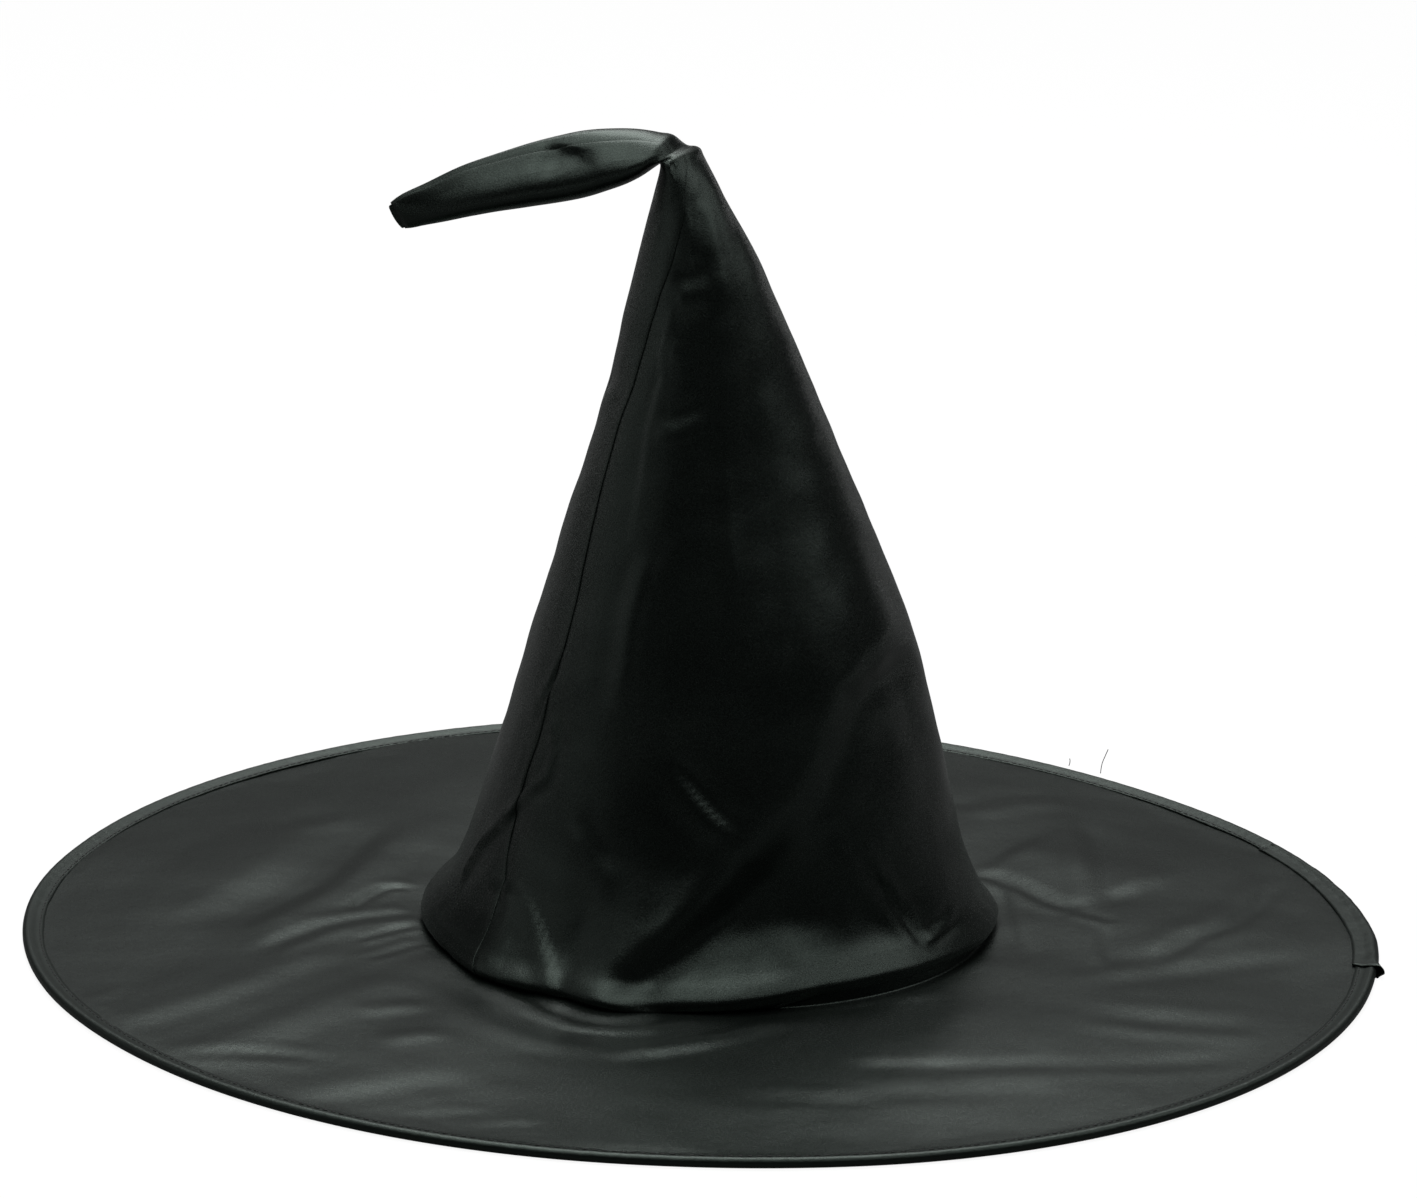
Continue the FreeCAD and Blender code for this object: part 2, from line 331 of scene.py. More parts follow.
def seenShare(nodes, links, share):
    # 1 to the camera, and the given share to rays that mirror or pass through
    rays = nodes.new("ShaderNodeLightPath").outputs
    mirrored = mathNode(nodes, links, "MAXIMUM", rays["Is Glossy Ray"], rays["Is Transmission Ray"])
    mirrored = mathNode(nodes, links, "MULTIPLY", mirrored, share)
    return mathNode(nodes, links, "MAXIMUM", rays["Is Camera Ray"], mirrored)


def makeRoom():
    # a dim room, a little paler behind the hat, over a white horizon
    world = bpy.data.worlds.new("Studio")
    bpy.context.scene.world = world
    world.use_nodes = True
    nodes, links = world.node_tree.nodes, world.node_tree.links
    sky = nodes["Background"]
    apart = nodes.new("ShaderNodeSeparateXYZ")
    links.new(nodes.new("ShaderNodeTexCoord").outputs["Generated"], apart.inputs["Vector"])
    aside = mathNode(nodes, links, "ABSOLUTE", apart.outputs["X"], 0.0)
    sector = rangeNode(nodes, links, aside, 0.62, 0.2, curve="SMOOTHSTEP")
    depth = rangeNode(nodes, links, apart.outputs["Y"], 0.0, 0.3, curve="SMOOTHSTEP")
    wall = mathNode(nodes, links, "POWER", mathNode(nodes, links, "MAXIMUM", apart.outputs["Z"], 0.0), 4.0)
    wall = mathNode(nodes, links, "MULTIPLY", wall, room["rise"])
    wall = mathNode(nodes, links, "MINIMUM", mathNode(nodes, links, "ADD", wall, room["low"]), room["most"])
    wall = mathNode(nodes, links, "MULTIPLY", wall, sector)
    wall = mathNode(nodes, links, "MULTIPLY", wall, depth)
    wall = mathNode(nodes, links, "ADD", wall, room["dim"])
    seen = seenShare(nodes, links, mathNode(nodes, links, "LESS_THAN", apart.outputs["Z"], 0.0))
    mix = nodes.new("ShaderNodeMix")
    mix.data_type = "FLOAT"
    mix.inputs["B"].default_value = 1.0
    links.new(seen, mix.inputs["Factor"])
    links.new(wall, mix.inputs["A"])
    links.new(mix.outputs["Result"], sky.inputs["Strength"])
    sky.inputs["Color"].default_value = (1, 1, 1, 1)


# the floor's half width, its glow and how much of it shows, and its tone in shadow and to the camera
ground = {"half": 4.0, "glow": 1.06, "share": 0.86, "dark": (0.04, 0.04, 0.04, 1), "pale": (0.8, 0.8, 0.8, 1)}


def makeFloor():
    bm = bmesh.new()
    bmesh.ops.create_grid(bm, x_segments=2, y_segments=2, size=ground["half"])
    floor = meshObject("Floor", bm, False)
    material = bpy.data.materials.new("Pale floor")
    material.use_nodes = True
    nodes, links = material.node_tree.nodes, material.node_tree.links
    matte = nodes["Principled BSDF"]
    matte.inputs["Roughness"].default_value = 0.9
    matte.inputs["Specular IOR Level"].default_value = 0.0
    glow = nodes.new("ShaderNodeEmission")
    glow.inputs["Strength"].default_value = ground["glow"]
    seen = seenShare(nodes, links, room["mirrored"])
    tone = nodes.new("ShaderNodeMix")
    tone.data_type = "RGBA"
    tone.inputs["A"].default_value = ground["dark"]
    tone.inputs["B"].default_value = ground["pale"]
    links.new(seen, tone.inputs["Factor"])
    links.new(tone.outputs["Result"], matte.inputs["Base Color"])
    mix = nodes.new("ShaderNodeMixShader")
    links.new(mathNode(nodes, links, "MULTIPLY", seen, ground["share"]), mix.inputs[0])
    links.new(matte.outputs[0], mix.inputs[1])
    links.new(glow.outputs[0], mix.inputs[2])
    links.new(mix.outputs[0], nodes["Material Output"].inputs["Surface"])
    floor.data.materials.append(material)


bpy.context.scene.view_settings.view_transform = "Standard"
makeCamera()
makeLamps()
makeRoom()
makeFloor()
print("camera, light and floor ready")

# crown and tip: one panel of satin, rolled into a cone, lapped at the side seam, folded over at the top

crown = {
    "around": 184,
    "along": 236,
    "thickness": 0.3,
    # columns at the seam: distance from the strip's edge and height, under the strip and on it
    "under": [(-7, -0.38), (-3, -0.38), (-0.8, -0.38), (-0.1, -0.35), (1.0, -0.24), (2.6, -0.1), (6, 0)],
    "strip": [(-9, 0), (-5, 0), (-2.8, 0.04), (-1.5, 0.1), (-0.6, 0.07), (-0.15, 0), (0, -0.06)],
    # row of the panel against the cloth's length: finer rows at the fold
    "rowReach": [(0.0, -8.0), (0.09, 12.0), (0.6, 238.0), (0.83, 290.0), (1.0, 371.0)],
    # reach, outer x, outer z, inner x, inner z, half depth, top's extra width, skew, seam angle
    "stations": [
        (-8.0, 95.1, 5.0, -88.1, 5.0, 91.6, 0, 0, 222),
        (-4.0, 97.4, 5.1, -90.4, 5.1, 93.9, 0, 0, 222),
        (-0.5, 98.9, 6.0, -91.9, 6.0, 95.4, 0, 0, 222),
        (3.0, 99.5, 7.8, -92.4, 7.8, 96.0, 0, 0, 221.5),
        (7.0, 97.6, 10.6, -90.9, 10.6, 94.2, 0, 0, 220.5),
        (11.0, 95.0, 13.6, -87.9, 13.6, 91.5, 0, 0, 219.5),
        (16.5, 92.4, 18.0, -84.4, 18.0, 88.4, 0, 0, 218.5),
        (22.7, 90.0, 23.4, -81.4, 23.4, 85.7, 0, 0, 217.2),
        (30.5, 87.2, 30.5, -78.6, 30.5, 83.0, 0, 0, 215.5),
        (46.0, 83.2, 46.0, -73.9, 46.0, 78.5, 0, 0, 210.8),
        (66.0, 78.2, 66.0, -68.3, 66.0, 73.3, 0, 0, 211.2),
        (82.2, 73.9, 82.2, -63.9, 82.2, 68.7, 0, 0, 212.6),
        (95.9, 70.5, 95.9, -60.6, 95.9, 65.3, 0, 0, 212.4),
        (109.5, 66.0, 109.5, -57.0, 109.5, 61.2, 0, 0, 214.2),
        (134.0, 55.8, 134.0, -50.0, 134.0, 52.6, 0, 0, 213.8),
        (161.0, 44.0, 161.0, -41.9, 161.0, 42.7, 0, 0, 212.2),
        (180.0, 35.7, 180.0, -36.7, 180.0, 35.9, 0, 0, 214),
        (190.0, 31.1, 190.0, -33.7, 190.0, 32.6, 0, 0, 217),
        (200.0, 26.6, 200.0, -31.9, 200.0, 29.6, 0, 0, 221),
        (210.0, 22.0, 210.0, -30.2, 210.0, 26.6, 0, 0, 226),
        (220.0, 17.6, 220.0, -28.2, 220.0, 23.5, 0, 0, 232.5),
        (230.0, 13.2, 230.0, -26.3, 230.0, 20.7, 0, 0.2, 240.5),
        (240.0, 7.6, 240.0, -24.0, 240.0, 18.0, 0, 0.8, 250.5),
        (248.0, 2.9, 248.0, -22.1, 248.0, 15.4, 0, 1.6, 266),
        (254.0, -0.9, 254.0, -20.6, 254.0, 13.8, 0, 2.6, 287),
        (259.0, -4.2, 258.9, -19.2, 259.0, 12.6, 0, 3.4, 305),
        (263.0, -6.8, 262.6, -18.7, 260.6, 11.8, 0, 4.2, 322),
        (266.5, -8.5, 265.3, -18.8, 261.2, 11.2, 0, 4.6, 328),
        (269.0, -10.4, 266.1, -18.9, 261.3, 10.8, 0, 4.6, 328),
        (271.5, -12.8, 266.3, -19.3, 261.1, 10.8, 0, 4.2, 326),
        (273.5, -14.1, 267.6, -20.0, 260.6, 11.0, -0.1, 3.8, 324),
        (276.0, -15.9, 269.8, -21.6, 259.4, 11.4, -0.2, 3.3, 322),
        (281.5, -20.5, 271.0, -24.5, 257.4, 12.2, -0.35, 2.4, 318),
        (288.5, -27.5, 271.9, -29.5, 254.8, 12.3, -0.45, 1.2, 315),
        (297.5, -36.5, 271.8, -36.0, 252.2, 11.8, -0.5, 0.4, 314),
        (306.0, -45.0, 270.9, -43.5, 249.6, 11.0, -0.55, 0, 314),
        (315.0, -54.0, 268.8, -53.0, 247.4, 10.2, -0.6, 0, 316),
        (323.0, -62.0, 266.4, -61.5, 245.9, 9.6, -0.62, 0, 318),
        (334.5, -73.0, 262.4, -71.5, 244.1, 8.6, -0.64, 0, 322),
        (346.5, -84.0, 258.1, -81.2, 241.9, 7.0, -0.6, 0, 326),
        (359.0, -95.0, 252.4, -90.9, 239.4, 4.8, -0.45, 0, 330),
        (367.5, -103.2, 248.1, -98.6, 237.6, 2.4, -0.2, 0, 332),
        (371.0, -106.6, 245.6, -101.6, 237.0, 1.5, 0, 0, 332),
    ],
    # reach, how far the rolled cloth is pressed to an edge at front and back
    "pinch": [(-8, 0), (222, 0), (252, 0.35), (262, 0.2), (274, 0.1), (294, 0), (371, 0)],
    # angle, how far the foot bulges out there
    "footBulge": [
        (180, 0.5), (198, 1.1), (209, 2.6), (223, 6.5), (233, 4.5), (241, 3.5), (250, 6.5),
        (259, 9.0), (268, 6.6), (280, 1.8), (293, -2.2), (309, -3.4), (323, -3.2), (334, -2.8),
        (348, -1.6), (363, 0), (540, 0.5),
    ],
    "bulgeFade": (7.0, 52.0),
    # angle, how far the roll's edge stands up off the brim
    "footLift": [
        (180, 0), (255, 0), (270, 1.2), (287, 3.2), (308, 4.0), (328, 3.2), (345, 1.4), (365, 0.2),
        (375, 0), (540, 0),
    ],
    # folds on the cone: path of (angle, height)
    "folds": [
        # long slanting step from the right flank down to the front of the foot
        {
            "path": [
                (350, 108), (335, 106), (320, 103), (310, 97), (304, 86), (298, 74), (290, 62),
                (282, 52), (275, 41), (267, 28), (259, 13), (253, 0),
            ],
            "cut": [(-40, 0), (-9, 1.1), (7, -2.3), (14, -2.3), (45, -1.3), (75, 0)],
            "fade": (0.12, 0.1),
        },
        # the facet below it, which flares down to the foot
        {
            "path": [
                (252, -3), (256, 4), (262, 13.5), (269.5, 22), (275.5, 28), (282, 34.5),
                (288.5, 40), (298.5, 44.5), (310, 46),
            ],
            "cut": [(-36, 0), (-3, -5.0), (2, -4.8), (17, 0)],
            "fade": (0.14, 0.6),
        },
        # knuckle high on the right flank
        {
            "path": [(352, 101), (338, 102), (328, 102), (318, 98), (312, 90)],
            "cut": [(-9, 0), (-4, 0.3), (0, -0.4), (3, -0.4), (12, 0.2), (26, 0)],
            "fade": (0.25, 0.4),
        },
        # short wrinkle in the middle
        {
            "path": [(254, 82), (259.5, 76), (264, 70), (269, 64), (275, 57.5)],
            "cut": [(-13, 0), (-1.4, 1.0), (1.8, -0.7), (9, 0)],
            "fade": (0.4, 0.2),
        },
        {
            "path": [(276, 58), (271, 51), (266, 42), (261, 31), (256, 19)],
            "cut": [(-6, 0), (-1, 0.5), (2, 0.3), (7, 0)],
            "fade": (0.1, 0.3),
        },
        # sharp wrinkle at the right, with its hook
        {
            "path": [
                (302, 61), (306, 54), (309.5, 46), (312.5, 39.5), (316, 33), (319, 27), (322, 17),
                (323.5, 10),
            ],
            "cut": [(-14, 0), (-6.5, 0.9), (-1.2, -0.9), (1.0, 0.7), (5.5, -0.2), (12, 0)],
            "fade": (0.25, 0.1),
        },
        {
            "path": [(321, 9), (325, 10.5), (330, 12), (334.5, 14), (339.5, 18.5)],
            "cut": [(-4.5, 0), (-1.3, -0.9), (0.8, 0.9), (5, -0.3), (9, 0)],
            "fade": (0.25, 0.35),
        },
        # tuck beside the seam's foot
        {
            "path": [
                (208, 26), (214.5, 30), (221, 31.5), (227, 29.5), (232.5, 21), (239, 8.5),
                (241.5, 0), (242, -5),
            ],
            "cut": [(-9, 0), (-3, 0.6), (-1.5, 0.7), (1.5, -0.6), (4, -0.3), (9, 0)],
            "fade": (0.15, 0.03),
        },
        {
            "path": [(214, 31), (219.5, 22.5), (222, 15), (223.5, 7), (224.5, 0)],
            "cut": [(-6, 0), (-2.2, 0.3), (0, -0.6), (2.2, 0.3), (6, 0)],
            "fade": (0.12, 0.1),
        },
        {
            "path": [(224, 7), (231, 10), (238, 8)],
            "cut": [(-10, 0.8), (-6, 0.8), (0, -0.7), (6, 0)],
            "fade": (0.25, 0.25),
        },
        # fold that leaves the seam and turns off to the left, and the hollow inside it
        {
            "path": [(211, 60), (209.5, 53.5), (204.5, 46), (198, 37), (195, 26), (198, 15)],
            "cut": [(-7, 0), (-2.2, 0.2), (0, 1.0), (2.6, -0.9), (8, -0.7), (16, 0)],
            "fade": (0.2, 0.3),
        },
        # crease along the lapped strip
        {
            "path": [(214, 106), (212.6, 97), (210.5, 88), (209, 77), (208.5, 66), (208.5, 57)],
            "cut": [(-4, 0), (-1.3, 0.3), (0, -0.8), (1.3, 0.3), (4, 0)],
            "fade": (0.2, 0.2),
        },
        # pucker to the right of the seam
        {
            "path": [(213.5, 92), (217.5, 83.5), (220, 74), (219.5, 67), (213.5, 60.5), (209.5, 53.5)],
            "cut": [(-6, 0), (-1.8, -0.4), (0, 0.7), (2.5, -0.5), (8, 0)],
            "fade": (0.25, 0.2),
        },
        {
            "path": [(231, 59), (237, 53), (242, 47), (249, 42)],
            "cut": [(-9, 0), (-3, 0.7), (2, -0.5), (9, 0)],
            "fade": (0.35, 0.4),
        },
        # edge of the flat panel to the right of the seam
        {
            "path": [(246, 150), (243, 138), (240, 124), (240, 104), (240, 88)],
            "cut": [(-16, 0), (-7, -0.4), (0, 0.6), (3, 0.3), (12, 0)],
            "fade": (0.3, 0.3),
        },
        # ledges below the fold
        {
            "path": [(241, 227.5), (251, 229), (262, 230), (276, 232.5), (284, 236)],
            "cut": [(-16, 0), (-7, 0.9), (-0.4, -0.5), (4, -0.3), (10, 0)],
            "fade": (0.2, 0.6),
        },
        {
            "path": [(240, 213), (250, 213), (262, 211), (272, 209)],
            "cut": [(-17, 0), (-8, 0.6), (-1, -0.3), (6, 0)],
            "fade": (0.35, 0.6),
        },
        {
            "path": [(238, 184), (250, 184), (264, 188), (270, 190)],
            "cut": [(-10, 0), (-4, 0.5), (1, -0.4), (7, 0)],
            "fade": (0.25, 0.4),
        },
        # long pinch beside the seam, from the ledges down
        {
            "path": [
                (249, 221), (243, 213), (238.5, 204), (239.5, 198), (241, 196), (237.5, 191),
                (235.5, 183), (235.5, 170), (235.5, 156), (234, 140),
            ],
            "cut": [(-13, 0), (-2.2, -0.5), (0.4, 0.15), (6, 0.1), (14, 0)],
            "fade": (0.1, 0.35),
        },
        # blunt edge from the fold down the front, with a flat side to its right
        {
            "path": [
                (358, 260), (346, 256), (318, 247), (300, 236), (291, 225), (284, 209), (279, 190),
                (276, 165), (275.5, 130), (276, 95), (277.5, 64),
            ],
            "cut": [(-14, 0), (-6, -0.4), (0, 0.5), (9, -0.4), (20, -0.3), (36, 0)],
            "fade": (0.08, 0.5),
        },
        # the left flank's small step
        {
            "path": [(178, 180), (188, 187), (206, 190)],
            "cut": [(-9, 0), (-2, 0.4), (2, -0.4), (12, 0)],
            "fade": (0.3, 0.4),
        },
        # sharp crease where the tip's front folds over the crown, and the small pleat beside it
        {
            "path": [(186, 268), (215, 269), (250, 269.5), (280, 269.5), (302, 268)],
            "cut": [(-12, 0), (-1, -0.9), (0, -1.0), (1.5, 0.3), (5, 0)],
            "fade": (0.2, 0.1),
        },
        {
            "path": [(281, 262), (290, 265), (300, 266)],
            "cut": [(-2.5, 0), (-0.8, 0.4), (0, -0.7), (1, 0.4), (2.5, 0)],
            "fade": (0.3, 0.3),
        },
        # tip: the ridge along its upper front, its shallow valley, and the dent below its end
        {
            "path": [(304, 272), (308, 281), (311, 296), (314, 309), (315, 316)],
            "cut": [(-7, 0), (0, 0.35), (7, 0)],
            "fade": (0.1, 0.12),
        },
        {
            "path": [(316, 311), (305, 312), (290, 313), (270, 312)],
            "cut": [(-10, 0), (-1, -1.1), (2, -1.0), (10, 0)],
            "fade": (0.15, 0.5),
        },
        {
            "path": [(285, 300), (272, 310), (262, 324)],
            "cut": [(-9, 0), (0, -0.8), (9, 0)],
            "fade": (0.3, 0.3),
        },
        # the sewn end's rim
        {
            "path": [(100, 367.5), (460, 367.5), (540, 367.5)],
            "cut": [(-3, 0), (-0.8, 0.25), (0, -0.25), (0.8, 0.2), (3, 0)],
            "fade": (0.01, 0.01),
        },
    ],
}


def crownSheet():
    bm = bmesh.new()
    bm.loops.layers.uv.new("Cloth")
    bmesh.ops.create_grid(bm, x_segments=crown["around"], y_segments=crown["along"], size=1.0, calc_uvs=True)
    flat = np.array([v.co for v in bm.verts])
    u, v = (flat[:, 0] + 1) / 2, (flat[:, 1] + 1) / 2
    reach = np.interp(v, *np.array(crown["rowReach"]).T)
    outX, outZ, inX, inZ, depth, topWide, skew, seam = throughRows(crown["stations"], reach).T
    midX, midZ = (outX + inX) / 2, (outZ + inZ) / 2
    half = np.hypot(outX - inX, outZ - inZ) / 2
    radius = (half + depth) / 2
    # columns are closer together round the front, and the panel starts under its own lapped edge
    column = np.rint(u * crown["around"]).astype(int)
    small = np.minimum(1, radius / 14)
    under, strip = np.array(crown["under"], float), np.array(crown["strip"], float)
    first, last = len(under) - 1, crown["around"] - len(strip) + 1
    between = (column - first) / (last - first)
    between += 0.42 * (np.sin(2 * np.pi * (between - 0.65)) + math.sin(2 * np.pi * 0.65)) / (2 * np.pi)
    degree = np.degrees(small / radius)
    low, high = seam + under[-1, 0] * degree, seam + 360 + strip[0, 0] * degree
    near, far = np.clip(column, 0, first), np.clip(column - last, 0, len(strip) - 1)
    angle = low + (high - low) * between
    angle = np.where(column < first, seam + under[near, 0] * degree, angle)
    angle = np.where(column > last, seam + 360 + strip[far, 0] * degree, angle)
    lap = small * np.where(column < first, under[near, 1], np.where(column > last, strip[far, 1], 0))
    a = np.radians(angle)
    wrapped = (angle - 180) % 360 + 180
    start, end = crown["bulgeFade"]
    bulge = np.interp(wrapped, *np.array(crown["footBulge"]).T) * (1 - ease((reach - start) / (end - start)))
    unwrapped = np.where((reach > 262) & (wrapped > 500), wrapped - 360, wrapped)
    push = bulge + lap + foldHeights(crown["folds"], unwrapped, reach, np.radians(1) * radius)
    along, out = np.cos(a), np.sin(a)
    along *= np.abs(along) ** np.interp(reach, *np.array(crown["pinch"]).T)
    wide = 1 + topWide * along
    nx, ny = along / half, out / depth
    size = np.hypot(nx, ny)
    p = half * along + push * nx / size
    q = depth * out * wide + push * ny / size
    axisX, axisZ = (outX - inX) / (2 * half), (outZ - inZ) / (2 * half)
    # the skew turns the fold so that it runs from the front left to the back right
    x = midX + p * axisX + skew * q / depth
    z = midZ + p * axisZ
    lift = np.interp(wrapped, *np.array(crown["footLift"]).T)
    z += lift * ease((reach + 8) / 8) * (1 - ease((reach - 3) / 34))
    points = np.stack([x, q, z], axis=1)
    slack = np.clip(radius / 30, 0.25, 1.0)
    swell = 0.7 * rumple(points, 34.0, 3.1) * slack + 0.28 * rumple(points, 11.0, 5.7) * slack
    points[:, 0] += swell * nx / size * axisX
    points[:, 1] += swell * ny / size
    points[:, 2] += swell * nx / size * axisZ
    for vert, place in zip(bm.verts, points):
        vert.co = place * mm
    bm.faces.ensure_lookup_table()
    front = min(bm.faces, key=lambda f: (f.calc_center_median() - Vector((0, -0.07, 0.07))).length)
    if front.normal.y > 0:
        bmesh.ops.reverse_faces(bm, faces=bm.faces)
    layer = bm.loops.layers.uv.active
    for face in bm.faces:
        for loop in face.loops:
            loop[layer].uv = (loop[layer].uv.x * 0.36, loop[layer].uv.y * 0.38)
    return bm


crownCloth = meshObject("CrownAndTip", crownSheet())
crownCloth.data.materials.append(crownSatin)
addThickness(crownCloth, crown["thickness"], -1)
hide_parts("crown_panel", "crown_seam_allowance", "tip_panel")
print("crown and tip sewn")

tipEnd = {"length": 3.4, "half": 4.3, "thickness": 0.9, "place": (-103.9, 0.0, 241.3), "turn": -32.0}


def tipEndSeam():
    # the closed end, pressed flat and upright, with a rounded rim
    bm = bmesh.new()
    bmesh.ops.create_cube(bm, size=1.0)
    size = (tipEnd["length"] * mm, tipEnd["thickness"] * mm, 2 * tipEnd["half"] * mm)
    bmesh.ops.scale(bm, vec=size, verts=bm.verts)
    bmesh.ops.subdivide_edges(bm, edges=bm.edges, cuts=5, use_grid_fill=True)
    for vert in bm.verts:
        rim = vert.co.z / (tipEnd["half"] * mm)
        vert.co.x += 0.5 * mm * rim * rim * (1 if vert.co.x < 0 else -1)
        vert.co.y += 0.12 * mm * math.sin(vert.co.z / mm * 1.4)
    turn = Matrix.Rotation(math.radians(tipEnd["turn"]), 3, "Y")
    bmesh.ops.rotate(bm, cent=(0, 0, 0), matrix=turn, verts=bm.verts)
    bmesh.ops.translate(bm, vec=Vector(tipEnd["place"]) * mm, verts=bm.verts)
    return bm


sewnEnd = meshObject("TipEndSeam", tipEndSeam())
sewnEnd.data.materials.append(bindingSatin)
soften = sewnEnd.modifiers.new("Soft edges", "SUBSURF")
soften.levels = soften.render_levels = 2
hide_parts("tip_end_seam")
print("tip's end sewn")

# brim: two plies over a stiffener, slack and rippled between the crown and the wired hem

